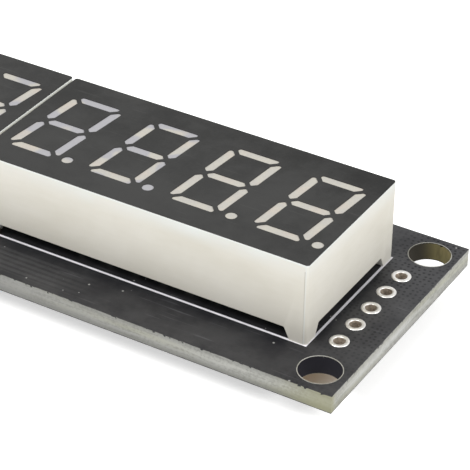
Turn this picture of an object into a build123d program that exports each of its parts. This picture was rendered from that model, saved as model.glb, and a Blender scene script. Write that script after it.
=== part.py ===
from build123d import *
import os
from math import atan2, copysign, degrees, radians, sqrt, tan

os.makedirs("parts", exist_ok=True)

# Seven-segment display module: two four-digit displays end to end on one circuit board,
# with a row of header holes at each end and the drive circuit on the underside.
# Millimetres. +X runs along the digits, +Y towards the top of the digits, +Z out of their faces.
# The origin is under the middle of the board, level with the lowest pin tips.

# Circuit board
board_length = 69.8
board_width = 22.8
board_thickness = 1.6
mounting_hole_radius = 1.7
mounting_hole_inset = 2.3  # from the board's end to the hole's centre
mounting_hole_margin = 2.4  # from the board's side to the hole's centre

# Header rows, one at each end
header_pitch = 2.54
header_count = 5
header_inset = 2.83  # from the board's end to the row
header_hole_radius = 0.5  # inside the plating
header_pad_radius = 0.8
plating = 0.05  # thickness of the plated copper and tin

# Displays
display_length = 30.1
display_width = 14.0
display_height = 7.25  # from the board to the front of the face
display_gap = 0.27
display_count = 2

# Housing of a display
housing_corner_radius = 0.25
housing_wall = 1.0
foot_height = 1.05
foot_length = 1.45  # along the wall, where the foot stands on the board
foot_slope = 0.5  # how much longer the foot is at its top
foot_corner_radius = 0.15
reflector_depth = 4.0  # depth of the light wells
face_thickness = 0.05
face_inset = 0.03  # pale rim left around the dark face

# Digits
digit_count = 4
digit_height = 9.14
digit_gap = 2.7  # from one digit to the next, before they are leaned over
digit_margin = 0.02  # between the digits' share of the length and the display's end
digit_slant = 5.0  # degrees
stroke = 0.78
segment_gap = 0.36
segment_corner_radius = 0.22  # where two sides meet at 45 degrees
segment_tip_radius = 0.14  # where two sides meet at a right angle
dot_radius = 0.47
dot_gap = 0.54  # from the digit's right side to the dot's middle
dot_drop = 0.07  # how far the dot reaches below the digit

# Light wells behind the segments
well_margin = 0.08  # how far a well reaches under the edge of the dark face
well_draft = 4.0  # degrees, narrower towards the light chip

# Inside a display, from the wells back
led_size = 0.3
led_height = 0.2
substrate_thickness = 0.8
substrate_clearance = 0.1
potting_thickness = 1.1

# Pins of a display
pin_width = 0.5
pin_thickness = 0.3
pin_pitch = 2.54
pins_per_row = 6
pin_row_inset = 1.92  # from the display's side to the row
pin_reach = 2.0  # below the board
pin_hole_radius = 0.45
solder_radius = 0.8
solder_height = 1.0
solder_neck_radius = 0.34

# Shift registers on the underside, one behind each display
register_length = 9.9
register_width = 3.9
register_height = 1.5
register_draft = 7.0  # degrees
register_standoff = 0.1
register_chamfer = 0.3  # along the edge beside the first lead
lead_pitch = 1.27
leads_per_side = 8
lead_span = 6.0
lead_width = 0.42
lead_thickness = 0.22
lead_foot = 0.6
lead_slope = 0.15
lead_embedded = 0.3
lead_pad_length = 1.4
lead_pad_width = 0.6

# Chip resistors and capacitors on the underside
resistor_count = 8
resistor_pitch = 1.9
resistor_height = 0.5
capacitor_offset = 10.0  # from a register's middle, towards the board's end
capacitor_height = 0.9
chip_length = 2.0
chip_width = 1.25
chip_terminal = 0.35
chip_pad_length = 0.9
chip_pad_width = 1.35

# Sides given to small round forms that other pieces hide
hidden_round_sides = 12

# Levels and places worked out from the sizes above
board_bottom = pin_reach
board_top = board_bottom + board_thickness
housing_height = display_height - face_thickness
face_length = display_length - 2 * face_inset
face_width = display_width - 2 * face_inset
face_corner_radius = housing_corner_radius - face_inset
reflector_back = board_top + housing_height - reflector_depth
substrate_back = reflector_back - substrate_thickness
cavity_length = display_length - 2 * housing_wall
cavity_width = display_width - 2 * housing_wall
barrel_radius = header_hole_radius + plating
header_x = board_length / 2 - header_inset
mounting_hole_x = board_length / 2 - mounting_hole_inset
mounting_hole_spacing = board_width - 2 * mounting_hole_margin
pin_row_spacing = display_width - 2 * pin_row_inset
digit_pitch = (display_length - 2 * digit_margin) / digit_count
digit_width = digit_pitch - digit_gap
dot_offset = digit_width / 2 + dot_gap
display_step = display_length + display_gap
display_centres = [(i - (display_count - 1) / 2) * display_step for i in range(display_count)]
digit_offsets = [(i - (digit_count - 1) / 2) * digit_pitch for i in range(digit_count)]


def underside(x=0.0, y=0.0, height=0.0):
    """A plane on the underside of the board whose normal points away from the board."""
    return Plane(origin=(x, y, board_bottom - height), x_dir=(1, 0, 0), z_dir=(0, 0, -1))


def save(part, label):
    """Gives a finished piece its name and writes it."""
    part.label = label
    export_step(part, f"parts/{label}.step")


def pin_grid():
    """The places of one display's pins about its middle."""
    return GridLocations(pin_pitch, pin_row_spacing, pins_per_row, 2)


def segment_corners(segment, grow=0.0):
    """Corners of one segment of a digit about the digit's middle, leaned over by the slant.

    Segments are a to g, clockwise from the top bar, with g in the middle. The ends are cut at
    45 degrees through the points where the bars' middle lines meet. grow moves every side out.
    """
    across = (digit_width - stroke) / 2
    up = (digit_height - stroke) / 2
    half = stroke / 2 + grow
    back = (segment_gap / 2 - grow) * sqrt(2)
    bar = [
        (-across + back - half, up + half),
        (across - back + half, up + half),
        (across - back - half, up - half),
        (-across + back + half, up - half),
    ]
    middle = [
        (-across + back, 0),
        (-across + back + half, half),
        (across - back - half, half),
        (across - back, 0),
        (across - back - half, -half),
        (-across + back + half, -half),
    ]
    post = [
        (across + half, up + half - back),
        (across - half, up - half - back),
        (across - half, half + back),
        (across, back),
        (across + half, half + back),
    ]
    shapes = {
        "a": [(x, y) for x, y in bar],
        "b": [(x, y) for x, y in post],
        "c": [(x, -y) for x, y in post],
        "d": [(x, -y) for x, y in bar],
        "e": [(-x, -y) for x, y in post],
        "f": [(-x, y) for x, y in post],
        "g": middle,
    }
    lean = tan(radians(digit_slant))
    return [(x + y * lean, y) for x, y in shapes[segment]]


def turn_at(corner, edges):
    """How far, in degrees, the outline turns where two of its sides meet at a corner."""
    point = Vector(corner)
    far_ends = []
    for edge in edges:
        for near, far in ((edge @ 0, edge @ 1), (edge @ 1, edge @ 0)):
            if (near - point).length < 1e-6:
                far_ends.append(far - point)
    return 180 - far_ends[0].get_angle(far_ends[1])


def middle_of(corners):
    """The middle of a list of corners."""
    return sum(x for x, y in corners) / len(corners), sum(y for x, y in corners) / len(corners)


dot_middle = (dot_offset, dot_radius - dot_drop - digit_height / 2)
led_places = [middle_of(segment_corners(segment)) for segment in "abcdefg"] + [dot_middle]


def drafted(outline, height, angle):
    """A block that stands on a flat outline and narrows by a draft angle away from it."""
    with BuildPart() as block:
        add(outline)
        extrude(amount=height)
        sides = [side for side in block.faces() if abs(side.normal_at().Z) < 0.5]
        draft(sides, Plane.XY, angle if height > 0 else -angle)
    return block.part


def make_wells(depth):
    """The space of one digit's light wells, from the front of the housing down to a depth.

    At the front a well is well_margin wider all round than its window, and its draft narrows it
    towards the light chip.
    """
    outlines = [
        Polygon(*segment_corners(segment, well_margin), align=None) for segment in "abcdefg"
    ]
    outlines.append(Pos(*dot_middle) * RegularPolygon(dot_radius + well_margin, hidden_round_sides))
    return [drafted(outline, -depth, well_draft) for outline in outlines]


def round_corners(window, least, most, radius):
    """Rounds the corners at which a window's outline turns by an angle between least and most."""
    corners = [spot for spot in window.vertices() if least < turn_at(spot, window.edges()) < most]
    if corners:
        fillet(corners, radius)


def make_segment_windows():
    """The openings of one digit in the dark face, with their rounded corners."""
    with BuildSketch() as windows:
        for segment in "abcdefg":
            with BuildSketch(mode=Mode.PRIVATE) as window:
                Polygon(*segment_corners(segment), align=None)
                round_corners(window, 60, 110, segment_tip_radius)
                round_corners(window, 110, 180, segment_corner_radius)
            add(window.sketch)
        with Locations(dot_middle):
            Circle(dot_radius)
    return windows.sketch


def make_cutout(wall_length, plane):
    """The low opening between two feet, through the two walls that face along the plane's normal."""
    at_board = wall_length / 2 - foot_length
    at_top = at_board - foot_slope
    with BuildPart() as cutout:
        with BuildSketch(plane) as opening:
            Polygon(
                (-at_board, 0),
                (at_board, 0),
                (at_top, foot_height),
                (-at_top, foot_height),
                align=None,
            )
            fillet(opening.vertices().group_by(Axis.Y)[-1], foot_corner_radius)
        extrude(amount=display_length, both=True)
    return cutout.part


# Circuit board: one drilled plate
with BuildPart() as circuit_board:
    with BuildSketch(Plane.XY.offset(board_bottom)):
        Rectangle(board_length, board_width)
        with GridLocations(2 * mounting_hole_x, mounting_hole_spacing, 2, 2):
            Circle(mounting_hole_radius, mode=Mode.SUBTRACT)
        with GridLocations(2 * header_x, header_pitch, 2, header_count):
            RegularPolygon(barrel_radius, hidden_round_sides, False, mode=Mode.SUBTRACT)
        for centre in display_centres:
            with Locations((centre, 0)):
                with pin_grid():
                    RegularPolygon(pin_hole_radius, hidden_round_sides, mode=Mode.SUBTRACT)
    extrude(amount=board_thickness)
save(circuit_board.part, "circuit_board")

# Header rows: plated barrels with a ring pad on both faces of the board
for row_name, row_x in (("input", header_x), ("output", -header_x)):
    with BuildPart() as header_pads:
        with BuildSketch(Plane((row_x, 0, board_bottom - plating))):
            with GridLocations(0, header_pitch, 1, header_count):
                Circle(header_pad_radius)
        extrude(amount=plating)
        with BuildSketch(Plane((row_x, 0, board_bottom))):
            with GridLocations(0, header_pitch, 1, header_count):
                RegularPolygon(barrel_radius, hidden_round_sides, False)
        extrude(amount=board_thickness)
        with BuildSketch(Plane((row_x, 0, board_top))):
            with GridLocations(0, header_pitch, 1, header_count):
                Circle(header_pad_radius)
        extrude(amount=plating)
        with BuildSketch(Plane((row_x, 0, board_top + plating))):
            with GridLocations(0, header_pitch, 1, header_count):
                Circle(header_hole_radius)
        extrude(amount=-(board_thickness + 2 * plating), mode=Mode.SUBTRACT)
    save(header_pads.part, f"{row_name}_header_pads")

# What all the displays share
digit_wells = make_wells(reflector_depth)
digit_fills = make_wells(reflector_depth - led_height)
digit_windows = make_segment_windows()
solder_slope = degrees(atan2(solder_radius - solder_neck_radius, solder_height))
solder_joint = drafted(RegularPolygon(solder_radius, hidden_round_sides), -solder_height, solder_slope)
register_outline = Rectangle(register_length, register_width)
half_register = register_height / 2
register_halves = [
    drafted(register_outline, height, register_draft) for height in (half_register, -half_register)
]
long_cutout = make_cutout(display_length, Plane.XZ)
short_cutout = make_cutout(display_width, Plane.YZ)

for number, centre in enumerate(display_centres, start=1):
    display = f"display_{number}"
    front = board_top + housing_height

    # Housing: a moulded shell on four feet, with a drafted light well for every segment
    with BuildPart() as housing:
        with BuildSketch(Plane((centre, 0, board_top))):
            RectangleRounded(display_length, display_width, housing_corner_radius)
        extrude(amount=housing_height)
        with BuildSketch(Plane((centre, 0, board_top))):
            Rectangle(cavity_length, cavity_width)
        extrude(amount=reflector_back - board_top, mode=Mode.SUBTRACT)
        with Locations((centre, 0, board_top)):
            add(long_cutout, mode=Mode.SUBTRACT)
            add(short_cutout, mode=Mode.SUBTRACT)
        with Locations(*[(centre + offset, 0, front) for offset in digit_offsets]):
            add(digit_wells, mode=Mode.SUBTRACT)
    save(housing.part, f"{display}_housing")

    # Dark face with a rounded window over every well
    with BuildPart() as face:
        with BuildSketch(Plane((centre, 0, front))):
            RectangleRounded(face_length, face_width, face_corner_radius)
            with Locations(*[(offset, 0) for offset in digit_offsets]):
                add(digit_windows, mode=Mode.SUBTRACT)
        extrude(amount=face_thickness)
    save(face.part, f"{display}_face")

    # Cloudy resin in the wells of each digit, from the light chips to the front
    for place, offset in enumerate(digit_offsets, start=1):
        with BuildPart() as segments:
            with Locations((centre + offset, 0, front)):
                add(digit_fills)
        save(segments.part, f"{display}_digit_{place}_segments")

    # Substrate that carries the light chips and the pins
    with BuildPart() as substrate:
        with BuildSketch(Plane((centre, 0, substrate_back))):
            Rectangle(cavity_length - 2 * substrate_clearance, cavity_width - 2 * substrate_clearance)
            with pin_grid():
                Rectangle(pin_width, pin_thickness, mode=Mode.SUBTRACT)
        extrude(amount=substrate_thickness)
    save(substrate.part, f"{display}_substrate")

    # Light chips, one at the bottom of every well
    with BuildPart() as light_chips:
        with BuildSketch(Plane((centre, 0, reflector_back))):
            with Locations(*[(offset + x, y) for offset in digit_offsets for x, y in led_places]):
                Rectangle(led_size, led_size)
        extrude(amount=led_height)
    save(light_chips.part, f"{display}_light_chips")

    # Potting resin that seals the back, cast around the pins
    with BuildPart() as potting:
        with BuildSketch(Plane((centre, 0, substrate_back - potting_thickness))):
            Rectangle(cavity_length, cavity_width)
            with pin_grid():
                Rectangle(pin_width, pin_thickness, mode=Mode.SUBTRACT)
        extrude(amount=potting_thickness)
    save(potting.part, f"{display}_potting")

    # Pins, from the substrate's front through the board
    with BuildPart() as pins:
        with BuildSketch(Plane((centre, 0, 0))):
            with pin_grid():
                Rectangle(pin_width, pin_thickness)
        extrude(amount=reflector_back)
    save(pins.part, f"{display}_pins")

    # Solder joints, cones that sit on the underside around the pins
    with BuildPart() as solder:
        with Locations((centre, 0, board_bottom)):
            with pin_grid():
                add(solder_joint)
        with BuildSketch(Plane((centre, 0, 0))):
            with pin_grid():
                Rectangle(pin_width, pin_thickness)
        extrude(amount=board_bottom, mode=Mode.SUBTRACT)
    save(solder.part, f"{display}_solder")

    # Leads of the shift register: bent strips from the body down to their pads
    lead_middle = register_standoff + half_register
    toe = lead_span / 2
    ankle = toe - lead_foot
    knee = ankle - lead_slope
    with BuildPart() as leads:
        for side in (1, -1):
            for i in range(leads_per_side):
                x = centre + (i - (leads_per_side - 1) / 2) * lead_pitch
                foot_level = board_bottom - plating
                section = Plane(origin=(x, 0, foot_level), x_dir=(0, side, 0), z_dir=(side, 0, 0))
                with BuildSketch(section):
                    with BuildLine():
                        inner = register_width / 2 - lead_embedded
                        Polyline(
                            (toe, 0),
                            (ankle, 0),
                            (knee, lead_thickness / 2 - lead_middle),
                            (inner, lead_thickness / 2 - lead_middle),
                            (inner, -lead_thickness / 2 - lead_middle),
                            (knee + lead_thickness, -lead_thickness / 2 - lead_middle),
                            (ankle + lead_thickness, -lead_thickness),
                            (toe, -lead_thickness),
                            close=True,
                        )
                    make_face()
                extrude(amount=lead_width / 2, both=True)

    # Moulded body of the shift register, cast around its leads
    with BuildPart() as register:
        with Locations((centre, 0, board_bottom - plating - lead_middle)):
            add(register_halves)
        edge = register.faces().sort_by(Axis.Z)[0].edges().sort_by(Axis.Y)[0]
        chamfer(edge, register_chamfer)
        add(leads.part, mode=Mode.SUBTRACT)
    save(register.part, f"register_{number}_body")
    save(leads.part, f"register_{number}_leads")


resistor_places = [((i - (resistor_count - 1) / 2) * resistor_pitch, 0) for i in range(resistor_count)]
capacitor_places = [(centre + copysign(capacitor_offset, centre), 0) for centre in display_centres]

# Chip resistors between the displays' pins, and a capacitor beside each shift register
for chip_name, places, height in (
    ("resistor", resistor_places, resistor_height),
    ("capacitor", capacitor_places, capacitor_height),
):
    with BuildPart() as bodies:
        with BuildSketch(underside(0, 0, plating)):
            with Locations(*places):
                Rectangle(chip_width, chip_length - 2 * chip_terminal)
        extrude(amount=height)
    save(bodies.part, f"{chip_name}_bodies")
    with BuildPart() as terminals:
        with BuildSketch(underside(0, 0, plating)):
            with Locations(*places):
                with GridLocations(0, chip_length - chip_terminal, 1, 2):
                    Rectangle(chip_width, chip_terminal)
        extrude(amount=height)
    save(terminals.part, f"{chip_name}_terminals")

# Tinned pads under the register leads and the chip terminals
with BuildPart() as surface_pads:
    with BuildSketch(underside()):
        with Locations(*[(centre, 0) for centre in display_centres]):
            with GridLocations(lead_pitch, lead_span - lead_foot, leads_per_side, 2):
                Rectangle(lead_pad_width, lead_pad_length)
        with Locations(*(resistor_places + capacitor_places)):
            with GridLocations(0, chip_length - chip_terminal, 1, 2):
                Rectangle(chip_pad_width, chip_pad_length)
    extrude(amount=plating)
save(surface_pads.part, "surface_pads")
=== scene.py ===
from functools import partial
from math import cos, pi, radians, sin

import bpy
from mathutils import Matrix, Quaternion, Vector


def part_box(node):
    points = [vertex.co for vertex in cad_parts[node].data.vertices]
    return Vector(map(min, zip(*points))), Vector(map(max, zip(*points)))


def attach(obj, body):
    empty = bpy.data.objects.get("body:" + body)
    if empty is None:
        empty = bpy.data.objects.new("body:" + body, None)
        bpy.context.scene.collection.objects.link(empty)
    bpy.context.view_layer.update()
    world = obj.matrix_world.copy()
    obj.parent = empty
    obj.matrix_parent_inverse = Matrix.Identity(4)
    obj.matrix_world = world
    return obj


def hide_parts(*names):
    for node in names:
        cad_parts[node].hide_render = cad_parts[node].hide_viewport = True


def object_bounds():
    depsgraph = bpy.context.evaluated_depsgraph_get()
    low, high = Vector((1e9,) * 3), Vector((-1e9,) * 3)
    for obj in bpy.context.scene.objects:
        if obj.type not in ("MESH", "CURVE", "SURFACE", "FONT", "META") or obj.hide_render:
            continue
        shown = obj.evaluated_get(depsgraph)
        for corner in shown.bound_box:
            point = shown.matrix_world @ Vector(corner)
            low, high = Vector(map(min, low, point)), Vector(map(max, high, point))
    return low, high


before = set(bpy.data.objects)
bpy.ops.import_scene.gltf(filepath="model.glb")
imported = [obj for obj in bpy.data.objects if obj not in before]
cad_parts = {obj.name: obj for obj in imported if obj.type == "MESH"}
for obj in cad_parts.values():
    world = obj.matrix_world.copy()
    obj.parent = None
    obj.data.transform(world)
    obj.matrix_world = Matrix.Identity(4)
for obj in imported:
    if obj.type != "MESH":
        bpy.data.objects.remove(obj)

bl_info = {
    "name": "Seven-segment display module",
    "version": (1, 0, 0),
    "blender": (4, 5, 0),
    "location": "3D View > Sidebar > Display module",
    "description": "Dresses a module of two four-digit displays on one circuit board",
    "category": "Object",
}

MM = 0.001
BODY = "root"
SAME_POINT = 0.002 * MM
Socket = bpy.types.NodeSocket
cad_low, cad_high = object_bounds()
board_low, board_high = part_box("circuit_board")
display_names = ("display_1", "display_2")
register_names = ("register_1", "register_2")
housing_boxes = {name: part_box(f"{name}_housing") for name in display_names}

# Section of a header eyelet's top, in millimetres: outwards from its bore and down from its top,
# then inwards from its rim and down from its top
EYELET_BORE_CURVE = ((0.0, 0.1), (0.01, 0.05), (0.04, 0.018), (0.09, 0.003), (0.15, 0.0))
EYELET_RIM_CURVE = ((0.14, 0.0), (0.07, 0.006), (0.02, 0.022))

# Vias of the board's right half, in millimetres from its middle. The left half has the same.
VIA_PLACES = (
    (5.3, 3.6), (5.3, -3.7), (8.2, 6.6), (9.3, -6.7), (21.6, 3.4), (22.4, -3.8),
    (26.6, 6.9), (27.4, -6.6), (28.6, 1.6), (28.6, -2.3),
)

HEADER_HOLES = 5
PINS_PER_ROW = 6
LEADS_PER_ROW = 8
CHIP_COUNTS = {"resistor": 8, "capacitor": 2}


def linear(code):
    """A colour written as in a drawing program, such as "dedbd0", in a shader's own values."""
    channels = [int(code[i:i + 2], 16) / 255 for i in (0, 2, 4)]
    return tuple(c / 12.92 if c <= 0.04045 else ((c + 0.055) / 1.055) ** 2.4 for c in channels)


def measure(name, description, millimetres):
    """A length that shows on the add-on's sizes."""
    return bpy.props.FloatProperty(
        name=name, description=description, default=millimetres * MM,
        min=0.0, precision=5, subtype="DISTANCE", unit="LENGTH",
    )


def paint(name, description, code):
    """A colour of the add-on, from its six-figure code."""
    return bpy.props.FloatVectorProperty(
        name=name, description=description, default=linear(code),
        min=0.0, max=1.0, size=3, subtype="COLOR",
    )


class ModuleSizes(bpy.types.PropertyGroup):
    """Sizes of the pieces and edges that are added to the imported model."""

    housing_edge: measure("Housing edge", "Radius of the moulding's outer edges", 0.04)
    part_edge: measure("Part edge", "Radius of the small parts' edges", 0.03)
    print_width: measure("Print width", "Width of a printed line", 0.2)
    print_reach: measure("Print reach", "How far an outline shows outside its display", 0.07)
    print_height: measure("Print height", "Thickness of the printed ink", 0.015)
    register_reach: measure("Register reach", "Outline past a shift register's end", 0.1)
    register_inset: measure("Register inset", "Outline inside a shift register's side", 0.55)
    hole_radius: measure("Hole radius", "Radius of a mounting hole", 1.7)
    hole_inset: measure("Hole inset", "Mounting hole to the board's end", 2.3)
    hole_margin: measure("Hole margin", "Mounting hole to the board's side", 2.4)
    hole_rim: measure("Hole rim", "Bare ring left around a mounting hole", 0.08)
    rim_height: measure("Rim height", "Height of a bare ring over the board", 0.012)
    seat: measure("Seat", "How deep an added ring reaches into the board", 0.02)
    pad_radius: measure("Pad radius", "Outer radius of a header pad", 0.8)
    bore_radius: measure("Bore radius", "Radius inside a header hole's plating", 0.46)
    pin_pitch: measure("Pin pitch", "Spacing of header holes and display pins", 2.54)
    pin_rows: measure("Pin rows", "Spacing of a display's two rows of pins", 10.16)
    joint_foot: measure("Joint foot", "Radius of a solder joint on the board", 0.8)
    joint_neck: measure("Joint neck", "Radius of a solder joint at its tip", 0.3)
    lead_pitch: measure("Lead pitch", "Spacing of a shift register's leads", 1.27)
    lead_span: measure("Lead span", "Tip to tip across a shift register", 6.0)
    lead_width: measure("Lead width", "Width of the solder at a lead", 0.4)
    lead_run: measure("Lead run", "How far the solder runs out from a lead", 0.3)
    lead_rise: measure("Lead rise", "How far the solder climbs a lead", 0.18)
    chip_width: measure("Chip width", "Width of a resistor or capacitor", 1.25)
    cap_width: measure("Cap width", "Width of the solder at a chip part", 1.15)
    cap_run: measure("Cap run", "How far the solder runs out from a chip part", 0.26)
    via_radius: measure("Via radius", "Radius of a filled via", 0.32)
    via_rise: measure("Via rise", "Height of the dome on a filled via", 0.05)
    line_inset: measure("Line inset", "Parting line to the housing's end", 0.26)
    line_width: measure("Line width", "Width of the parting line", 0.06)
    dish_along: measure("Dish along", "Dished mark to a shift register's end", 1.1)
    dish_across: measure("Dish across", "Dished mark to a shift register's side", 1.0)
    dish_radius: measure("Dish radius", "Radius of the dished mark", 0.4)
    glaze: measure("Glaze", "Depth of the black film on a resistor", 0.07)


class ModuleColours(bpy.types.PropertyGroup):
    """Colours of the finishes."""

    housing: paint("Housing", "Cream moulding", "e6e3da")
    housing_shade: paint("Housing shade", "Darker stretches of the moulding", "dad6ca")
    # Painted highlight: a lighter, cooler tone along the housing's top edge and beside its corners
    housing_highlight: paint("Housing highlight", "Cooler tone along the top edge", "e6eae8")
    # Painted shade: the real parting line's small step, drawn as a dark line
    housing_line: paint("Housing line", "Parting line beside the corners", "8f877a")
    soot: paint("Soot", "Small dull specks on the moulding", "a39c8c")
    film: paint("Film", "Dark face of a display", "292928")
    film_scuff: paint("Film scuff", "Scuffs of the dark face", "6a6a68")
    cream_resin: paint("Cream resin", "Warm part of the cloudy resin", "bbb7ac")
    lilac_resin: paint("Lilac resin", "Cool part of the cloudy resin", "a3a2a6")
    rosy_resin: paint("Rosy resin", "Faint rosy patches of the cloudy resin", "c4b0a2")
    mask: paint("Mask", "Black coating of the board", "1e1e21")
    mask_shade: paint("Mask shade", "Paler blotches of the coating", "29292b")
    mask_scuff: paint("Mask scuff", "Scuffs of the coating", "77777a")
    dust: paint("Dust", "Specks of dust on the board", "b4b4b0")
    laminate: paint("Laminate", "Cut edge of the board", "b8b8b3")
    laminate_warm: paint("Warm laminate", "Yellower streaks of the cut edge", "b0b0a0")
    laminate_pale: paint("Pale laminate", "Whiter stretch of the board's ends", "d6d7d7")
    laminate_dark: paint("Dark laminate", "Darker fibres of the cut edge", "80807a")
    # Darker tone for the foot and lip of the cut edge
    laminate_foot_lip: paint("Laminate foot and lip", "Foot and lip of the cut edge", "6c6c68")
    laminate_far: paint("Far laminate", "Greyer edge of the board's left half", "868684")
    laminate_stain: paint("Stained laminate", "Stain at the near corner", "9c9b7e")
    # Painted light and shade: the rear holes' walls are painted lit, the front holes' walls painted
    # in shade
    bore: paint("Bore", "Walls of the rear mounting holes", "938a62")
    bore_shade: paint("Bore shade", "Walls of the front mounting holes", "2c2b31")
    ring: paint("Ring", "Bare rings around the mounting holes", "aeada6")
    ring_shade: paint("Ring shade", "Darker stretches of the bare rings", "868478")
    tin: paint("Tin", "Tinned pads, leads and pins", "eceae6")
    hole_brown: paint("Hole brown", "Dull brown inside the header holes", "b3a595")
    solder: paint("Solder", "Solder joints", "dadadc")
    ink: paint("Ink", "Printed lines", "eeecf1")
    moulding: paint("Moulding", "Body of a shift register", "29292b")
    potting: paint("Potting", "Resin that seals a display's back", "8d8a7c")
    substrate: paint("Substrate", "Board inside a display", "5d6f4c")
    substrate_pale: paint("Pale substrate", "Paler blotches of that board", "6d7c58")
    die: paint("Die", "Light chips", "d8d2a0")
    die_shade: paint("Die shade", "Darker parts of the light chips", "c2b87c")
    ceramic: paint("Ceramic", "Body of a resistor", "d8d6ce")
    ceramic_shade: paint("Ceramic shade", "Darker parts of that body", "c8c5ba")
    glazed: paint("Glazed film", "Black film of a resistor", "19191b")
    glazed_pale: paint("Pale glazed film", "Paler parts of that film", "232326")
    capacitor: paint("Capacitor", "Body of a capacitor", "b39a74")
    capacitor_shade: paint("Capacitor shade", "Darker parts of that body", "9c8560")
    floor: paint("Floor", "Pale floor", "ececea")
    floor_shade: paint("Floor shade", "Darker clouds of the floor", "e6e6e4")


def deselect():
    """Leaves edit mode and selects nothing."""
    if bpy.context.object and bpy.context.object.mode != "OBJECT":
        bpy.ops.object.mode_set(mode="OBJECT")
    bpy.ops.object.select_all(action="DESELECT")


def choose(piece):
    """Selects one piece and makes it the active one."""
    deselect()
    piece.select_set(True)
    bpy.context.view_layer.objects.active = piece


def edit(piece):
    """Opens a piece in edit mode with all of it selected."""
    choose(piece)
    bpy.ops.object.mode_set(mode="EDIT")
    bpy.ops.mesh.select_all(action="SELECT")


def place_meshes():
    """Moves the selected pieces' places into their meshes."""
    bpy.ops.object.transform_apply(location=True, rotation=True, scale=True)


def dress(piece, finish):
    """Gives a piece the finish of a name, in place of what it has."""
    piece.data.materials.clear()
    piece.data.materials.append(bpy.data.materials[finish])


def dress_node(node_name, finish):
    """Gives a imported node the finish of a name."""
    dress(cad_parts[node_name], finish)


def settle(piece, name, finish, angle=35.0, stands_for=()):
    """Names a finished piece, smooths it, gives it its finish and lets it ride."""
    choose(piece)
    place_meshes()
    bpy.ops.object.shade_smooth_by_angle(angle=radians(angle))
    piece.name = name
    piece.data.name = name
    dress(piece, finish)
    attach(piece, BODY)
    if stands_for:
        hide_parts(*stands_for)


def softened(node_name, name, radius, finish, segments=2):
    """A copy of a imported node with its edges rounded, which stands for that node."""
    piece = bpy.data.objects.new(name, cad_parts[node_name].data.copy())
    bpy.context.scene.collection.objects.link(piece)
    edit(piece)
    bpy.ops.mesh.remove_doubles(threshold=SAME_POINT)
    bpy.ops.mesh.dissolve_limited(angle_limit=radians(1.0), delimit=set())
    choose(piece)
    rounding = piece.modifiers.new("rounding", "BEVEL")
    rounding.width = radius
    rounding.segments = segments
    rounding.limit_method = "ANGLE"
    rounding.angle_limit = radians(35)
    rounding.use_clamp_overlap = False
    bpy.ops.object.modifier_apply(modifier=rounding.name)
    settle(piece, name, finish, stands_for=(node_name,))


def draw_line(points):
    """A new piece that is a line through points, open in edit mode with its end selected."""
    deselect()
    bpy.ops.mesh.primitive_plane_add(size=MM)
    piece = bpy.context.object
    bpy.ops.object.mode_set(mode="EDIT")
    bpy.ops.mesh.merge(type="CENTER")
    bpy.ops.transform.translate(value=points[0])
    for here, there in zip(points, points[1:]):
        step = Vector(there) - Vector(here)
        bpy.ops.mesh.extrude_region_move(TRANSFORM_OT_translate={"value": step})
    bpy.ops.mesh.select_all(action="SELECT")
    return piece


def close_up():
    """Merges the open piece's doubled points and turns its faces outwards."""
    bpy.ops.mesh.select_all(action="SELECT")
    bpy.ops.mesh.remove_doubles(threshold=SAME_POINT)
    bpy.ops.mesh.normals_make_consistent(inside=False)
    bpy.ops.object.mode_set(mode="OBJECT")


def lathe(profile, steps=48):
    """Turns a line of (radius, height) points about the upright axis through the origin."""
    piece = draw_line([(radius, 0, height) for radius, height in profile])
    bpy.ops.mesh.spin(steps=steps, angle=2 * pi, center=(0, 0, 0), axis=(0, 0, 1))
    close_up()
    return piece


def strip(profile, length):
    """A strip along X whose section is a closed outline of (y, z) points."""
    piece = draw_line([(-length / 2, y, z) for y, z in profile])
    bpy.ops.mesh.edge_face_add()
    bpy.ops.mesh.extrude_region_move(TRANSFORM_OT_translate={"value": (length, 0, 0)})
    close_up()
    return piece


def repeat(piece, places):
    """Copies a piece to each of some places, each copy with its own mesh, and joins them."""
    copies = [piece]
    for _ in places[1:]:
        choose(piece)
        bpy.ops.object.duplicate(linked=False)
        copies.append(bpy.context.object)
    for copy, place in zip(copies, places):
        copy.location = place
        copy.select_set(True)
    bpy.context.view_layer.objects.active = piece
    piece.select_set(True)
    place_meshes()
    bpy.ops.object.join()


def spaced(middle, pitch, count):
    """Evenly spaced places along a row, about its middle."""
    return [middle + (i - (count - 1) / 2) * pitch for i in range(count)]


def both_sides(piece, y):
    """Moves a piece back by y and joins it to its mirror image in front."""
    piece.location.y = y
    choose(piece)
    place_meshes()
    bpy.ops.object.duplicate(linked=False)
    other = bpy.context.object
    other.scale = (1, -1, 1)
    place_meshes()
    edit(other)
    close_up()
    choose(piece)
    other.select_set(True)
    bpy.ops.object.join()


def printed_frame(low, high, level, thickness, width):
    """A rectangular printed line from a lower to a higher corner, thickened up or down."""
    deselect()
    middle = (low + high) / 2
    bpy.ops.mesh.primitive_plane_add(size=1.0, location=(middle.x, middle.y, level))
    outline = bpy.context.object
    outline.scale = (high.x - low.x, high.y - low.y, 1.0)
    place_meshes()
    edit(outline)
    bpy.ops.mesh.inset(thickness=width, depth=0.0)
    bpy.ops.mesh.delete(type="FACE")
    bpy.ops.mesh.select_all(action="SELECT")
    bpy.ops.mesh.extrude_region_move(TRANSFORM_OT_translate={"value": (0, 0, thickness)})
    close_up()
    return outline


def feed(target, inputs):
    """Sets a shader node's inputs. Each value is a number, a colour or another node's socket."""
    for name, value in inputs.items():
        if isinstance(value, Socket):
            target.id_data.links.new(value, target.inputs[name])
        else:
            target.inputs[name].default_value = value


def node(kind, inputs, settings=None):
    """Adds a shader node to the tree that its inputs come from."""
    tree = next(value.id_data for value in inputs.values() if isinstance(value, Socket))
    made = tree.nodes.new(kind)
    for name, value in (settings or {}).items():
        setattr(made, name, value)
    feed(made, inputs)
    return made


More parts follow.
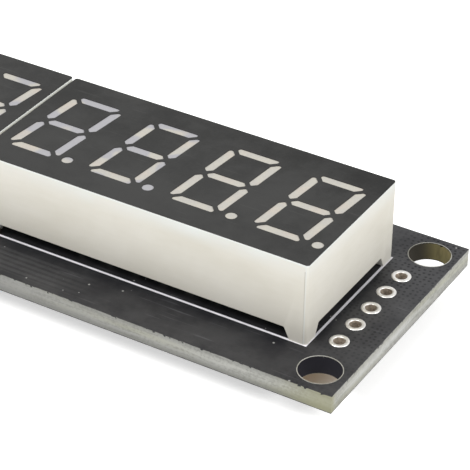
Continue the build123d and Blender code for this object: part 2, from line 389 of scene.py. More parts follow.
def calc(operation, *values):
    """The result of a sum or other operation on numbers or sockets."""
    inputs = dict(enumerate(values))
    return node("ShaderNodeMath", inputs, {"operation": operation}).outputs[0]


times = partial(calc, "MULTIPLY")
plus = partial(calc, "ADD")
minus = partial(calc, "SUBTRACT")
larger = partial(calc, "MAXIMUM")
smaller = partial(calc, "MINIMUM")
is_above = partial(calc, "GREATER_THAN")
is_below = partial(calc, "LESS_THAN")
absolute = partial(calc, "ABSOLUTE")


def distance(first, second):
    """The length of the vector whose two parts are given."""
    return calc("SQRT", plus(times(first, first), times(second, second)))


def blend(factor, first, second):
    """Goes from one colour to another by a factor. A colour is three numbers or a socket."""
    inputs = {0: factor}
    for index, colour in ((6, first), (7, second)):
        inputs[index] = colour if isinstance(colour, Socket) else (*colour, 1.0)
    return node("ShaderNodeMix", inputs, {"data_type": "RGBA"}).outputs[2]


def smooth_step(value, low, high, to_low=0.0, to_high=1.0):
    """Goes smoothly from to_low to to_high as the value goes from low to high."""
    inputs = {
        "Value": value, "From Min": low, "From Max": high, "To Min": to_low, "To Max": to_high,
    }
    return node("ShaderNodeMapRange", inputs, {"interpolation_type": "SMOOTHSTEP"}).outputs[0]


def band(value, low, high, soft):
    """A mask that is 1 where the value lies between low and high, with soft ends."""
    start = smooth_step(value, low - soft, low + soft)
    end = smooth_step(value, high - soft, high + soft, 1.0, 0.0)
    return times(start, end)


def stripes(value, pitch, width):
    """A mask of stripes that repeat at a pitch."""
    away = calc("PINGPONG", value, pitch / 2)
    return smooth_step(away, width * 0.35, width * 0.65, 1.0, 0.0)


def noise(vector, scale, detail=3.0, roughness=0.5):
    """Clouds from 0 to 1. The scale is in clouds for each metre."""
    inputs = {"Vector": vector, "Scale": scale, "Detail": detail, "Roughness": roughness}
    return node("ShaderNodeTexNoise", inputs).outputs["Fac"]


def stretched(vector, x, y, z):
    """The vector for a pattern that is drawn out along the axes whose factors are small."""
    return node("ShaderNodeMapping", {"Vector": vector, "Scale": (x, y, z)}).outputs[0]


def tint(colour, factor):
    """A colour made lighter or darker."""
    return tuple(min(channel * factor, 1.0) for channel in colour)


def new_group(name, inputs, output):
    """An empty group of shader nodes with one output. Returns its inputs and its output node."""
    tree = bpy.data.node_groups.new(name, "ShaderNodeTree")
    tree.interface.new_socket(name="Vector", in_out="INPUT", socket_type="NodeSocketVector")
    for key, value in inputs.items():
        made = tree.interface.new_socket(name=key, in_out="INPUT", socket_type="NodeSocketFloat")
        made.default_value = value
    tree.interface.new_socket(name=output, in_out="OUTPUT", socket_type="NodeSocketFloat")
    return tree.nodes.new("NodeGroupInput").outputs, tree.nodes.new("NodeGroupOutput")


def make_wander_group():
    """Soft wide clouds with smaller ones on them, which make a colour wander."""
    given, result = new_group("wander", {"Scale": 200.0}, "Mask")
    wide = noise(given["Vector"], given["Scale"], detail=1.0)
    small = noise(given["Vector"], times(given["Scale"], 5.3), detail=2.0)
    both = plus(times(wide, 0.7), times(small, 0.3))
    feed(result, {"Mask": smooth_step(both, 0.32, 0.68)})


def make_grain_group():
    """Fine grain of a surface, for its gloss and its bumps."""
    given, result = new_group("grain", {"Scale": 9000.0}, "Grain")
    grain = noise(given["Vector"], given["Scale"], detail=5.0, roughness=0.6)
    feed(result, {"Grain": grain})


def make_speck_group():
    """Sparse small specks, as of dust. Size is the share of a cell that a speck covers."""
    given, result = new_group("specks", {"Scale": 900.0, "Size": 0.12}, "Mask")
    inputs = {"Vector": given["Vector"], "Scale": given["Scale"]}
    cells = node("ShaderNodeTexVoronoi", inputs, {"feature": "F1"})
    chance = node("ShaderNodeSeparateColor", {0: cells.outputs["Color"]}).outputs[0]
    size = times(given["Size"], smooth_step(chance, 0.66, 1.0))
    feed(result, {"Mask": is_below(cells.outputs["Distance"], size)})


def make_cloth_group():
    """Small dots in patches, where the glass cloth shows through a coating."""
    given, result = new_group("glass_cloth", {"Scale": 2200.0}, "Mask")
    inputs = {"Vector": given["Vector"], "Scale": given["Scale"], "Randomness": 0.45}
    cells = node("ShaderNodeTexVoronoi", inputs, {"feature": "F1", "voronoi_dimensions": "2D"})
    dots = smooth_step(cells.outputs["Distance"], 0.12, 0.36, 1.0, 0.0)
    patches = noise(given["Vector"], times(given["Scale"], 0.09), detail=1.0)
    feed(result, {"Mask": times(dots, smooth_step(patches, 0.36, 0.58))})


def make_scuff_group():
    """Fine short scuffs in three directions."""
    given, result = new_group("scuffs", {"Scale": 500.0}, "Mask")
    masks = []
    for turn in (0.4, 1.7, 2.6):
        turned = node("ShaderNodeMapping", {
            "Vector": given["Vector"], "Rotation": (0, 0, turn), "Scale": (0.5, 8.0, 1.0),
        })
        line = noise(turned.outputs[0], given["Scale"], detail=1.0)
        masks.append(smooth_step(line, 0.72, 0.8))
    feed(result, {"Mask": larger(larger(masks[0], masks[1]), masks[2])})


def effect(name, vector, scale, **others):
    """Places a shared group, drawn at a scale, and returns its output."""
    inputs = {"Vector": vector, "Scale": scale, **others}
    return node("ShaderNodeGroup", inputs, {"node_tree": bpy.data.node_groups[name]}).outputs[0]


def new_material(name):
    """Makes a material with one principled shader. Returns that shader and a point's place."""
    if name in bpy.data.materials:
        raise RuntimeError(f"a material named {name} is there already")
    material = bpy.data.materials.new(name)
    material.use_nodes = True
    nodes = material.node_tree.nodes
    return nodes["Principled BSDF"], nodes.new("ShaderNodeTexCoord").outputs["Object"]


def split(place):
    """The three coordinates of a place."""
    return node("ShaderNodeSeparateXYZ", {0: place}).outputs


def bumps(height, depth):
    """The direction of a surface with bumps of the given depth in metres."""
    inputs = {"Height": height, "Distance": depth, "Strength": 1.0}
    return node("ShaderNodeBump", inputs).outputs["Normal"]


def make_finish(name, first, second, gloss, scale, grain_scale=9000.0, metallic=0.0, specular=0.5):
    """A finish whose colour wanders between two tones, with grain in its gloss and its surface."""
    shader, place = new_material(name)
    wander = effect("wander", place, scale)
    grain = effect("grain", place, grain_scale)
    spread = plus(times(wander, 0.4), times(grain, 0.6))
    feed(shader, {
        "Base Color": blend(wander, first, second),
        "Roughness": smooth_step(spread, 0.2, 0.8, *gloss),
        "Normal": bumps(grain, 0.004 * MM),
        "Metallic": metallic,
        "Specular IOR Level": specular,
    })


def make_housing_finish(colours, sizes):
    """Cream plastic with flow marks along the wall, a parting line in painted shade by each corner,
    and painted highlights.
    """
    shader, place = new_material("cream_moulding")
    flow = effect("wander", stretched(place, 0.25, 0.25, 1.0), 420.0)
    blotch = effect("wander", place, 90.0)
    grain = effect("grain", place, 7000.0)
    tone = plus(times(flow, 0.4), times(blotch, 0.6))
    colour = blend(tone, colours.housing, colours.housing_shade)
    x, y, z = split(place)
    low, high = housing_boxes["display_1"]

    # Painted highlight: a cooler, lighter tone along the top edge
    rim = times(smooth_step(z, high.z - 1.6 * MM, high.z, 0.0, 0.9), blotch)
    rim = larger(rim, smooth_step(z, high.z - 0.3 * MM, high.z, 0.0, 0.8))
    colour = blend(rim, colour, colours.housing_highlight)

    # Parting lines on the front and back walls, their small step drawn in painted shade, and a
    # cooler painted highlight on the strip between them and the corners
    middle = abs(low.x + high.x) / 2
    line_end = (high.x - low.x) / 2 - sizes.line_inset
    line_start = line_end - sizes.line_width
    line_top = high.z - 0.55 * MM
    along = absolute(minus(absolute(x), middle))
    on_wall = is_above(absolute(y), high.y - 0.02 * MM)
    line = band(along, line_start, line_end, 0.03 * MM)
    line = times(line, smooth_step(z, low.z, high.z - 0.7 * MM, 0.2, 0.55))
    line = times(line, is_below(z, line_top))
    beside = times(is_above(along, line_end), 0.5)
    colour = blend(times(beside, on_wall), colour, colours.housing_highlight)
    colour = blend(times(line, on_wall), colour, colours.housing_line)

    soot = effect("specks", place, 420.0, Size=0.05)
    colour = blend(times(soot, 0.5), colour, colours.soot)
    feed(shader, {
        "Base Color": colour,
        "Roughness": smooth_step(grain, 0.3, 0.7, 0.38, 0.52),
        "Normal": bumps(plus(grain, times(flow, 0.8)), 0.003 * MM),
        "Specular IOR Level": 0.4,
    })


def make_film_finish(colours):
    """Dark printed face: satin, with a fine tooth, faint smears, a few scuffs and painted
    reflection.
    """
    shader, place = new_material("dark_film")
    smear = effect("wander", place, 140.0)
    grain = effect("grain", place, 5200.0)
    scuff = effect("scuffs", place, 420.0)
    x, y, _ = split(place)
    tone = plus(times(smear, 0.6), times(grain, 0.4))

    # Painted reflection: paler towards the front, and darker towards the far right corner
    tone = plus(tone, smooth_step(y, -4.0 * MM, 6.5 * MM, 0.42, 0.12))
    darker = smooth_step(y, 0.0, 7.0 * MM, -0.15, -0.5)
    tone = plus(tone, times(darker, smooth_step(x, 18.0 * MM, 29.0 * MM)))
    colour = blend(tone, tint(colours.film, 0.7), tint(colours.film, 1.4))
    colour = blend(times(scuff, 0.08), colour, colours.film_scuff)
    feed(shader, {
        "Base Color": colour,
        "Roughness": smooth_step(plus(smear, times(grain, 0.5)), 0.1, 1.3, 0.44, 0.54),
        "Normal": bumps(grain, 0.004 * MM),
        "Coat Weight": smooth_step(tone, 0.1, 0.9, 0.14, 0.38),
        "Coat Roughness": 0.5,
        "Specular IOR Level": 0.06,
    })


def make_resin_finish(colours):
    """Cloudy resin, lilac in some wells and cream in others, with a fine mottle."""
    shader, place = new_material("well_resin")
    x = split(place)[0]
    grain = effect("grain", place, 3600.0)
    creamier = smooth_step(x, 14.0 * MM, 17.0 * MM, -0.03, 0.25)
    warmth = plus(noise(place, 300.0, detail=1.0), creamier)
    mottle = times(minus(grain, 0.5), 0.7)
    cream = plus(smooth_step(warmth, 0.47, 0.55), mottle)
    cream = smaller(larger(cream, 0.0), 1.0)
    uneven = smooth_step(noise(place, 900.0, detail=2.0), 0.35, 0.65, 0.8, 1.0)
    cream = times(cream, uneven)
    colour = blend(cream, colours.lilac_resin, colours.cream_resin)
    rosy = smooth_step(noise(place, 620.0, detail=1.0), 0.5, 0.7, 0.0, 0.24)
    colour = blend(times(rosy, cream), colour, colours.rosy_resin)
    fine = smooth_step(noise(place, 7000.0, detail=2.0), 0.35, 0.65, 0.0, 0.16)
    colour = blend(fine, colour, tint(colours.lilac_resin, 0.8))
    feed(shader, {
        "Base Color": colour,
        "Roughness": smooth_step(grain, 0.3, 0.7, 0.4, 0.6),
        "Normal": bumps(grain, 0.008 * MM),
    })


def laminate_colour(place, layered, fibre, colours):
    """The board's cut edge: fibres along it, warmer streaks, and a darker foot and lip."""
    x, y, z = split(place)
    fleck = noise(place, 4200.0, detail=2.0)
    warm = smooth_step(noise(layered, 520.0, detail=2.0), 0.46, 0.7)
    edge = blend(warm, colours.laminate, colours.laminate_warm)
    marks = plus(times(fibre, 0.6), times(fleck, 0.4))
    dark = smooth_step(marks, 0.44, 0.64, 0.0, 0.55)
    edge = blend(dark, edge, colours.laminate_dark)

    # Foot and lip, weaker on the board's ends than on its long sides
    on_side = is_above(absolute(y), board_high.y - 0.01 * MM)
    foot = smooth_step(z, board_low.z + 0.1 * MM, board_low.z + 0.9 * MM, 0.72, 0.0)
    lip = smooth_step(z, board_high.z - 0.6 * MM, board_high.z - 0.15 * MM, 0.0, 0.42)
    lip = times(lip, smooth_step(x, 8.0 * MM, 16.0 * MM))
    share = plus(times(on_side, 0.6), 0.4)
    foot_and_lip = times(larger(foot, lip), share)
    edge = blend(foot_and_lip, edge, colours.laminate_foot_lip)

    # A whiter stretch half way up the board's ends
    layer = band(z, board_low.z + 0.5 * MM, board_high.z - 0.4 * MM, 0.3 * MM)
    pale = times(times(band(y, -9.0 * MM, 1.0 * MM, 2.0 * MM), layer), 0.42)
    pale = times(pale, minus(1.0, on_side))
    edge = blend(pale, edge, colours.laminate_pale)

    # Greyer towards the left, with a stain at the near right corner
    far = smooth_step(x, -10.0 * MM, 33.0 * MM, 0.95, 0.0)
    edge = blend(far, edge, colours.laminate_far)
    at_end = smooth_step(x, 29.0 * MM, 34.5 * MM)
    at_front = smooth_step(y, -11.38 * MM, -10.6 * MM, 0.7, 0.0)
    return blend(times(at_end, at_front), edge, colours.laminate_stain)


def add_bore_colour(place, edge, colours, sizes):
    """Puts the colour of the mounting holes' drilled walls, painted lit at the rear and in painted
    shade at the front, over that of the cut edge.
    """
    x, y, _ = split(place)
    dx = minus(absolute(x), board_high.x - sizes.hole_inset)
    dy = minus(absolute(y), board_high.y - sizes.hole_margin)
    in_bore = is_below(distance(dx, dy), sizes.hole_radius + 0.04 * MM)
    # Painted light and shade: rear bores take the lit colour, front bores the shaded one
    rear = smooth_step(y, -2.0 * MM, 2.0 * MM)
    bore = blend(rear, colours.bore_shade, colours.bore)
    # Random streaks, and painted shade on the side of each bore towards the board's middle
    streaks = effect("wander", stretched(place, 1.0, 1.0, 0.2), 900.0)
    painted_side_shade = smooth_step(dx, -1.5 * MM, 0.3 * MM, 0.9, 0.0)
    streaks_and_painted_shade = larger(times(streaks, 0.6), painted_side_shade)
    bore = blend(streaks_and_painted_shade, bore, tint(colours.bore_shade, 0.8))
    return blend(in_bore, edge, bore)


def make_board_finish(colours, sizes):
    """The board: black mask on both faces, pale fibrous laminate on its cut edge, drilled bores."""
    shader, place = new_material("masked_board")
    x, y, z = split(place)
    wide_x = absolute(x)
    wide_y = absolute(y)

    # The mask hangs unevenly over the edges, with small nubs along the upper one
    ragged = times(noise(place, 1900.0, detail=4.0, roughness=0.6), 0.11 * MM)
    nubs = smooth_step(noise(place, 2700.0, detail=1.0), 0.59, 0.67)
    hanging = plus(ragged, times(nubs, 0.13 * MM))
    over = is_above(z, minus(board_high.z, hanging))
    under = is_below(z, plus(ragged, board_low.z))
    masked = larger(over, under)
    bare = minus(1.0, masked)

    layered = stretched(place, 0.1, 0.1, 1.5)
    fibre = noise(layered, 3200.0, detail=4.0, roughness=0.65)
    edge = laminate_colour(place, layered, fibre, colours)
    edge = add_bore_colour(place, edge, colours, sizes)

    # Copper tracks under the mask, along the board's sides near its middle
    beside = band(wide_y, 8.1 * MM, 10.9 * MM, 0.1 * MM)
    clear = smooth_step(wide_x, 8.0 * MM, 14.0 * MM, 1.0, 0.0)
    run = times(times(beside, clear), stripes(y, 0.55 * MM, 0.3 * MM))

    # Mask: near black, with faint blotches, dots of the glass cloth, scuffs and dust
    blotch = effect("wander", place, 260.0)
    grain = effect("grain", place, 6000.0)
    near_end = smooth_step(wide_x, 28.0 * MM, 32.5 * MM, 0.15, 1.0)
    near_end = times(near_end, smooth_step(y, -8.0 * MM, 1.0 * MM, 0.3, 1.0))
    cloth = times(effect("glass_cloth", place, 2200.0), near_end)
    scuff = effect("scuffs", place, 380.0)
    dust = effect("specks", place, 1500.0, Size=0.17)
    coat = blend(blotch, colours.mask, colours.mask_shade)
    coat = blend(times(cloth, 0.8), coat, tint(colours.mask, 0.3))
    coat = blend(times(run, 0.5), coat, tint(colours.mask_shade, 1.5))
    coat = blend(times(scuff, 0.22), coat, colours.mask_scuff)
    coat = blend(times(dust, 0.6), coat, colours.dust)
    coated = smooth_step(plus(grain, times(scuff, 0.4)), 0.3, 0.9, 0.34, 0.5)
    coat_relief = plus(plus(grain, times(run, 1.6)), times(cloth, -0.8))
    relief = plus(times(coat_relief, masked), times(fibre, bare))
    sheen = plus(times(blotch, 0.28), times(run, 0.2))
    sheen = plus(plus(sheen, times(cloth, -0.42)), 0.44)
    feed(shader, {
        "Base Color": blend(masked, edge, coat),
        "Roughness": plus(times(masked, coated), times(bare, 0.75)),
        "Normal": bumps(relief, 0.008 * MM),
        "Coat Weight": times(sheen, masked),
        "Coat Roughness": 0.4,
        "Specular IOR Level": 0.1,
    })


def make_header_finish(colours, sizes):
    """Bright tin on the header's rings, dull brown down inside its holes."""
    shader, place = new_material("header_tin")
    x, y, _ = split(place)
    low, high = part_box("input_header_pads")
    dx = minus(absolute(x), (low.x + high.x) / 2)
    row = calc("ROUND", calc("DIVIDE", y, sizes.pin_pitch))
    dy = minus(y, times(row, sizes.pin_pitch))
    reach = distance(dx, dy)
    # Dull brown inside the holes, with a darker mottle
    hole_brown_radius = sizes.bore_radius - 0.005 * MM
    edge = plus(times(noise(place, 2600.0), 0.04 * MM), hole_brown_radius)
    inside = is_below(reach, edge)
    wander = effect("wander", place, 900.0)
    grain = effect("grain", place, 5000.0)
    tin = blend(wander, colours.tin, tint(colours.tin, 0.86))
    hole_mottle = smooth_step(grain, 0.35, 0.65)
    hole_brown = blend(hole_mottle, tint(colours.hole_brown, 0.55), colours.hole_brown)
    feed(shader, {
        "Base Color": blend(inside, tin, hole_brown),
        "Metallic": minus(1.0, inside),
        "Roughness": smooth_step(plus(grain, times(wander, 0.5)), 0.3, 1.1, 0.28, 0.42),
        "Normal": bumps(grain, 0.004 * MM),
    })


def make_moulding_finish(colours, sizes):
    """Matt black epoxy with a dished mark beside each shift register's first lead."""
    shader, place = new_material("matt_epoxy")
    x, y, z = split(place)
    low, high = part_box("register_2_body")
    side = calc("SIGN", x)
    dx = minus(x, times(side, (low.x + high.x) / 2))
    dx = plus(dx, (high.x - low.x) / 2 - sizes.dish_along)
    dy = plus(y, (high.y - low.y) / 2 - sizes.dish_across)
    start, end = sizes.dish_radius - 0.04 * MM, sizes.dish_radius + 0.04 * MM
    dish = smooth_step(distance(dx, dy), start, end, 1.0, 0.0)
    face = is_below(z, low.z + 0.02 * MM)
    dish = times(dish, face)
    grain = effect("grain", place, 4200.0)
    wander = effect("wander", place, 300.0)
    colour = blend(wander, colours.moulding, tint(colours.moulding, 1.35))
    colour = blend(times(dish, 0.6), colour, tint(colours.moulding, 0.55))
    feed(shader, {
        "Base Color": colour,
        "Roughness": plus(smooth_step(grain, 0.3, 0.7, 0.52, 0.68), times(dish, -0.22)),
        "Normal": bumps(plus(times(grain, 0.4), times(dish, -3.0)), 0.02 * MM),
    })


def make_resistor_finish(colours, sizes):
    """A chip resistor's body: white ceramic under a glazed black film."""
    shader, place = new_material("resistor_ceramic")
    z = split(place)[2]
    grain = effect("grain", place, 5200.0)
    wander = effect("wander", place, 700.0)
    glazed = is_below(z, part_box("resistor_bodies")[0].z + sizes.glaze)
    white = blend(wander, colours.ceramic, colours.ceramic_shade)
    black = blend(wander, colours.glazed, colours.glazed_pale)
    feed(shader, {
        "Base Color": blend(glazed, white, black),
        "Roughness": plus(smooth_step(grain, 0.3, 0.7, 0.5, 0.62), times(glazed, -0.25)),
        "Normal": bumps(grain, 0.006 * MM),
    })


class DISPLAYMODULE_OT_finishes(bpy.types.Operator):
    """Build the shared effects and every finish."""

    bl_idname = "display_module.finishes"
    bl_label = "Finishes"
    bl_options = {"REGISTER", "UNDO"}

    def execute(self, context):
        colours = context.scene.module_colours
        sizes = context.scene.module_sizes
        make_wander_group()
        make_grain_group()
        make_speck_group()
        make_cloth_group()
        make_scuff_group()
        make_housing_finish(colours, sizes)
        make_film_finish(colours)
        make_resin_finish(colours)
        make_board_finish(colours, sizes)
        make_header_finish(colours, sizes)
        make_moulding_finish(colours, sizes)
        make_resistor_finish(colours, sizes)
        tin, solder, ink, potting = colours.tin, colours.solder, colours.ink, colours.potting
        make_finish("bright_tin", tin, tint(tin, 0.84), (0.18, 0.36), 900.0, metallic=1.0)
        make_finish("smooth_solder", solder, tint(solder, 0.76), (0.12, 0.3), 600.0, metallic=1.0)
        make_finish("printed_ink", ink, tint(ink, 0.84), (0.5, 0.7), 900.0, grain_scale=12000.0)
        make_finish("bare_ring", colours.ring, colours.ring_shade, (0.35, 0.55), 700.0)
        make_finish("cloudy_potting", potting, tint(potting, 0.8), (0.25, 0.4), 180.0, specular=0.4)
        make_finish("substrate_board", colours.substrate, colours.substrate_pale, (0.4, 0.6), 400.0)
        make_finish("bare_die", colours.die, colours.die_shade, (0.3, 0.4), 2000.0)
        make_finish(
            "capacitor_ceramic", colours.capacitor, colours.capacitor_shade, (0.4, 0.55), 900.0
        )
        return {"FINISHED"}


class DISPLAYMODULE_OT_board(bpy.types.Operator):
    """Dress the board and add the rims of its holes, its printed outlines and its filled vias."""

    bl_idname = "display_module.board"
    bl_label = "Board"
    bl_options = {"REGISTER", "UNDO"}

    def execute(self, context):
        sizes = context.scene.module_sizes
        dress_node("circuit_board", "masked_board")
        self.add_hole_rims(sizes)
        self.add_outlines(sizes)
        self.add_vias(sizes)
        return {"FINISHED"}

    def add_hole_rims(self, sizes):
        """Bare rings where the mask stops short of the mounting holes."""
        inner, outer = sizes.hole_radius, sizes.hole_radius + sizes.hole_rim
        seat, rise = sizes.seat, sizes.rim_height
        hole_x = board_high.x - sizes.hole_inset
        hole_y = board_high.y - sizes.hole_margin
        for side, level, up in (("top", board_high.z, 1), ("bottom", board_low.z, -1)):
            profile = [
                (inner, level - up * seat),
                (inner, level + up * rise / 2),
                (inner + rise, level + up * rise),
                (outer - 0.015 * MM, level + up * rise),
                (outer, level - up * seat),
                (inner, level - up * seat),
            ]
            rim = lathe(profile, steps=64)
            repeat(rim, [(x, y, 0) for x in (-hole_x, hole_x) for y in (-hole_y, hole_y)])
            settle(rim, f"mounting_hole_rims_{side}", "bare_ring")

    def add_outlines(self, sizes):
        """Printed lines under the displays' walls, and round the chips on the underside."""
        gap = 0.002 * MM
        reach = Vector((sizes.print_reach, sizes.print_reach, 0))
        for name in display_names:
            low, high = housing_boxes[name]
            level = board_high.z + gap
            outline = printed_frame(
                low - reach, high + reach, level, sizes.print_height, sizes.print_width
            )
            settle(outline, f"{name}_outline", "printed_ink")
        level = board_low.z - gap
        inset = Vector((-sizes.register_reach, sizes.register_inset, 0))
        thin = sizes.print_width * 0.7
        for name in register_names:
            low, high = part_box(f"{name}_body")
            outline = printed_frame(low + inset, high - inset, level, -sizes.print_height, thin)
            settle(outline, f"{name}_outline", "printed_ink")

    def add_vias(self, sizes):
        """Low domes of solder over the vias on the underside, between the displays' pins."""
        radius, rise = sizes.via_radius, sizes.via_rise
        level = board_low.z
        seat = level + 0.01 * MM
        profile = [
            (0, level - rise),
            (radius * 0.4, level - rise * 0.92),
            (radius * 0.75, level - rise * 0.6),
            (radius, seat),
            (0, seat),
        ]
        dome = lathe(profile, steps=24)
        repeat(dome, [(side * x * MM, y * MM, 0) for side in (-1, 1) for x, y in VIA_PLACES])
        settle(dome, "vias", "smooth_solder")


class DISPLAYMODULE_OT_header(bpy.types.Operator):
    """Add the plated header holes with their rounded ring pads."""

    bl_idname = "display_module.header"
    bl_label = "Header holes"
    bl_options = {"REGISTER", "UNDO"}

    def execute(self, context):
        sizes = context.scene.module_sizes
        bore, pad = sizes.bore_radius, sizes.pad_radius
        for row in ("input", "output"):
            low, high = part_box(f"{row}_header_pads")
            upper = [(bore + out * MM, high.z - down * MM) for out, down in EYELET_BORE_CURVE]
            upper += [(pad - back * MM, high.z - down * MM) for back, down in EYELET_RIM_CURVE]
            upper += [(pad, board_high.z), (bore + 0.08 * MM, board_high.z - sizes.seat)]
            lower = [(radius, low.z + high.z - height) for radius, height in reversed(upper)]
            eyelet = lathe(upper + lower + upper[:1])
            middle = (low.x + high.x) / 2
            repeat(eyelet, [(middle, y, 0) for y in spaced(0, sizes.pin_pitch, HEADER_HOLES)])
            settle(
                eyelet, f"{row}_header_eyelets", "header_tin",
                angle=50.0, stands_for=(f"{row}_header_pads",),
            )
        return {"FINISHED"}


class DISPLAYMODULE_OT_displays(bpy.types.Operator):
    """Dress both displays, from their housings to the pins."""

    bl_idname = "display_module.displays"
    bl_label = "Displays"
    bl_options = {"REGISTER", "UNDO"}

    def execute(self, context):
        sizes = context.scene.module_sizes
        for name in display_names:
            softened(
                f"{name}_housing", f"{name}_moulding", sizes.housing_edge,
                "cream_moulding", segments=3,
            )
            dress_node(f"{name}_face", "dark_film")
            for digit in range(1, 5):
                dress_node(f"{name}_digit_{digit}_segments", "well_resin")
            dress_node(f"{name}_substrate", "substrate_board")
            dress_node(f"{name}_light_chips", "bare_die")
            dress_node(f"{name}_potting", "cloudy_potting")
            dress_node(f"{name}_pins", "bright_tin")
            self.add_joints(name, sizes)
        return {"FINISHED"}

    def add_joints(self, name, sizes):
        """Solder joints with hollow flanks around the pins."""
        node_name = f"{name}_solder"
        low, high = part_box(node_name)
        foot, neck = sizes.joint_foot, sizes.joint_neck
        profile = [(0, high.z)]
        rings = 9
        for i in range(rings + 1):
            share = i / rings
            radius = neck + (foot - neck) * (1 - sin(share * pi / 2)) ** 1.3
            profile.append((radius, high.z - (high.z - low.z) * share))

        # The rounded tip, just past the neck
        profile.append((neck * 0.6, low.z - 0.05 * MM))
        profile.append((0, low.z - 0.06 * MM))
        joint = lathe(profile, steps=28)
        row = spaced((low.x + high.x) / 2, sizes.pin_pitch, PINS_PER_ROW)
        repeat(joint, [(x, side * sizes.pin_rows / 2, 0) for x in row for side in (-1, 1)])
        settle(joint, f"{name}_solder_joints", "smooth_solder", stands_for=(node_name,))


class DISPLAYMODULE_OT_underside(bpy.types.Operator):
    """Dress the shift registers and chip parts, and add their solder fillets."""

    bl_idname = "display_module.underside"
    bl_label = "Underside"
    bl_options = {"REGISTER", "UNDO"}

    def execute(self, context):
        sizes = context.scene.module_sizes
        for name in register_names:
            softened(
                f"{name}_body", f"{name}_moulding", sizes.part_edge, "matt_epoxy"
            )
            dress_node(f"{name}_leads", "bright_tin")
            self.add_lead_fillets(name, sizes)
        dress_node("surface_pads", "smooth_solder")
        for kind, count in CHIP_COUNTS.items():
            softened(
                f"{kind}_bodies", f"{kind}_blocks", sizes.part_edge * 0.5, f"{kind}_ceramic"
            )
            softened(
                f"{kind}_terminals", f"{kind}_caps", sizes.part_edge, "bright_tin"
            )
            self.add_cap_fillets(kind, count, sizes)
        return {"FINISHED"}

    def make_fillet(self, width, run, rise):
        """A hollow wedge of solder that rises from the pads at y = 0 and runs out along +Y."""
        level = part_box("surface_pads")[0].z
        seat = level + 0.01 * MM
        profile = [(-0.02 * MM, seat)]
        for share in (1.0, 0.6, 0.32, 0.14, 0.0):
            slope = (1 - share) ** 1.8
            profile.append((run * slope, level - rise * share ** 1.5))
        return strip([*profile, (run, seat)], width)

    def add_lead_fillets(self, name, sizes):
        """Solder at the toes of a shift register's leads."""
        fillet = self.make_fillet(sizes.lead_width, sizes.lead_run, sizes.lead_rise)
        both_sides(fillet, sizes.lead_span / 2)
        low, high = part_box(f"{name}_leads")
        row = spaced((low.x + high.x) / 2, sizes.lead_pitch, LEADS_PER_ROW)
        repeat(fillet, [(x, 0, 0) for x in row])
        settle(fillet, f"{name}_lead_fillets", "smooth_solder")

    def add_cap_fillets(self, kind, count, sizes):
        """Solder that climbs the metal ends of the chip parts."""
        low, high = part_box(f"{kind}_terminals")
        fillet = self.make_fillet(sizes.cap_width, sizes.cap_run, (high.z - low.z) * 0.7)
        both_sides(fillet, high.y)
        low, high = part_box(f"{kind}_bodies")
        pitch = (high.x - low.x - sizes.chip_width) / (count - 1)
        repeat(fillet, [(x, 0, 0) for x in spaced((low.x + high.x) / 2, pitch, count)])
        settle(fillet, f"{kind}_fillets", "smooth_solder")


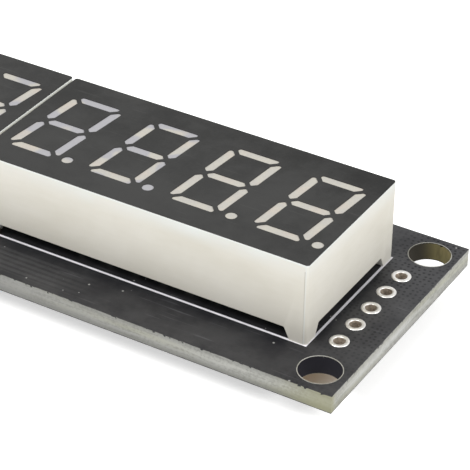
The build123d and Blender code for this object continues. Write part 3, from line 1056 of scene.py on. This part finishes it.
class DISPLAYMODULE_OT_stage(bpy.types.Operator):
    """Add the floor, the white surroundings, the lamps and the camera."""

    bl_idname = "display_module.stage"
    bl_label = "Stage"
    bl_options = {"REGISTER", "UNDO"}

    def execute(self, context):
        self.add_floor(context.scene.module_colours)
        self.set_surroundings(context.scene)
        self.add_lamp("key_lamp", place=(-0.12, -0.25, 0.45), size=0.30, power=2.1)
        self.add_lamp("side_lamp", place=(0.40, 0.05, 0.28), size=0.25, power=1.1)
        self.add_lamp("lower_lamp", place=(0.01, 0.0, -0.50), size=0.12, power=1.4)
        self.add_camera(context.scene)
        return {"FINISHED"}

    def add_floor(self, colours):
        """A pale floor that looks white outside the board's shadow, with painted shadow under the
        board, and clear from below.
        """
        deselect()
        bpy.ops.mesh.primitive_grid_add(
            x_subdivisions=4, y_subdivisions=4, size=3.0, location=(0, 0, cad_low.z)
        )
        floor = bpy.context.object
        floor.name = "floor"
        shader, place = new_material("white_floor")
        cloud = noise(place, 6.0, detail=2.0)
        feed(shader, {
            "Base Color": blend(cloud, colours.floor, colours.floor_shade),
            "Roughness": 0.9,
            "Specular IOR Level": 0.0,
        })

        # Where the floor glows: outside the board's shadow. The glow stops under the board as
        # painted shadow, and a faint brown painted-shadow glow shows where the camera sees it
        # through the front holes
        x, y, _ = split(place)
        out_x = minus(absolute(x), board_high.x)
        out_y = minus(absolute(y), board_high.y)
        past_end = smooth_step(out_x, -2.8 * MM, -2.0 * MM)
        past_side = smooth_step(out_y, -3.8 * MM, -3.0 * MM)
        outside = larger(past_end, past_side)
        dx = plus(out_x, 4.4 * MM)
        dy = plus(y, 5.3 * MM)
        painted_shadow_patch = smooth_step(distance(dx, dy), 1.6 * MM, 2.6 * MM, 1.0, 0.0)
        light = blend(outside, (0.0, 0.0, 0.0), (0.55, 0.55, 0.55))
        light = blend(painted_shadow_patch, light, (0.11, 0.07, 0.03))

        # Only the camera sees the glow. The floor's underside is clear, and it casts no shadow.
        tree = shader.id_data
        rays = tree.nodes.new("ShaderNodeLightPath").outputs
        seen = larger(rays["Is Camera Ray"], rays["Is Transmission Ray"])
        glow = node("ShaderNodeEmission", {"Color": light, "Strength": seen})
        lit = node("ShaderNodeAddShader", {0: shader.outputs[0], 1: glow.outputs[0]})
        clear = tree.nodes.new("ShaderNodeBsdfTransparent")
        behind = tree.nodes.new("ShaderNodeNewGeometry").outputs["Backfacing"]
        passed = larger(behind, rays["Is Shadow Ray"])
        shown = {0: passed, 1: lit.outputs[0], 2: clear.outputs[0]}
        both = node("ShaderNodeMixShader", shown)
        feed(tree.nodes["Material Output"], {"Surface": both.outputs[0]})
        dress(floor, "white_floor")

    def set_surroundings(self, scene):
        """White surroundings, which light the module more weakly than they look."""
        world = bpy.data.worlds.new("white_surroundings")
        world.use_nodes = True
        tree = world.node_tree
        rays = tree.nodes.new("ShaderNodeLightPath").outputs
        mirrored_rays = larger(rays["Is Glossy Ray"], rays["Is Transmission Ray"])
        seen = larger(rays["Is Camera Ray"], mirrored_rays)
        weak = 0.42
        strength = plus(times(seen, 1 - weak), weak)
        feed(tree.nodes["Background"], {"Color": (1, 1, 1, 1), "Strength": strength})
        scene.world = world
        scene.view_settings.view_transform = "Standard"

    def add_lamp(self, name, place, size, power):
        """A round lamp, aimed near the module's middle."""
        deselect()
        bpy.ops.object.light_add(type="AREA", location=place)
        lamp = bpy.context.object
        lamp.name = name
        lamp.data.shape = "DISK"
        lamp.data.size = size
        lamp.data.energy = power
        target = Vector((0.01, 0, 0.005))
        lamp.rotation_euler = (target - Vector(place)).to_track_quat("-Z", "Y").to_euler()

    def add_camera(self, scene):
        """The photograph's view: from the front right, looking down."""
        azimuth, elevation, roll = radians(30.268), radians(33.554), radians(1.084)
        target = Vector((23.5, -6.304, 10.85)) * MM
        distance_away = 170.08 * MM
        back = Vector(
            (sin(azimuth) * cos(elevation), -cos(azimuth) * cos(elevation), sin(elevation))
        )
        bpy.ops.object.camera_add(location=target + back * distance_away)
        camera = bpy.context.object
        camera.name = "photo_camera"
        turn = (-back).to_track_quat("-Z", "Y") @ Quaternion((0, 0, 1), roll)
        camera.rotation_euler = turn.to_euler()
        camera.data.sensor_width = 36.0
        camera.data.lens = 174.01
        camera.data.clip_start = 0.005
        camera.data.clip_end = 20.0
        scene.camera = camera


class DISPLAYMODULE_PT_panel(bpy.types.Panel):
    """The operators that build the module's looks."""

    bl_idname = "DISPLAYMODULE_PT_panel"
    bl_label = "Display module"
    bl_space_type = "VIEW_3D"
    bl_region_type = "UI"
    bl_category = "Display module"

    def draw(self, context):
        for operator in OPERATORS:
            self.layout.operator(operator.bl_idname)


OPERATORS = (
    DISPLAYMODULE_OT_finishes,
    DISPLAYMODULE_OT_board,
    DISPLAYMODULE_OT_header,
    DISPLAYMODULE_OT_displays,
    DISPLAYMODULE_OT_underside,
    DISPLAYMODULE_OT_stage,
)
CLASSES = (ModuleSizes, ModuleColours, *OPERATORS, DISPLAYMODULE_PT_panel)


def register():
    for cls in CLASSES:
        bpy.utils.register_class(cls)
    bpy.types.Scene.module_sizes = bpy.props.PointerProperty(type=ModuleSizes)
    bpy.types.Scene.module_colours = bpy.props.PointerProperty(type=ModuleColours)


def unregister():
    del bpy.types.Scene.module_colours
    del bpy.types.Scene.module_sizes
    for cls in reversed(CLASSES):
        bpy.utils.unregister_class(cls)


def main():
    register()
    bpy.ops.display_module.finishes()
    bpy.ops.display_module.board()
    bpy.ops.display_module.header()
    bpy.ops.display_module.displays()
    bpy.ops.display_module.underside()
    bpy.ops.display_module.stage()


if __name__ == "__main__":
    main()
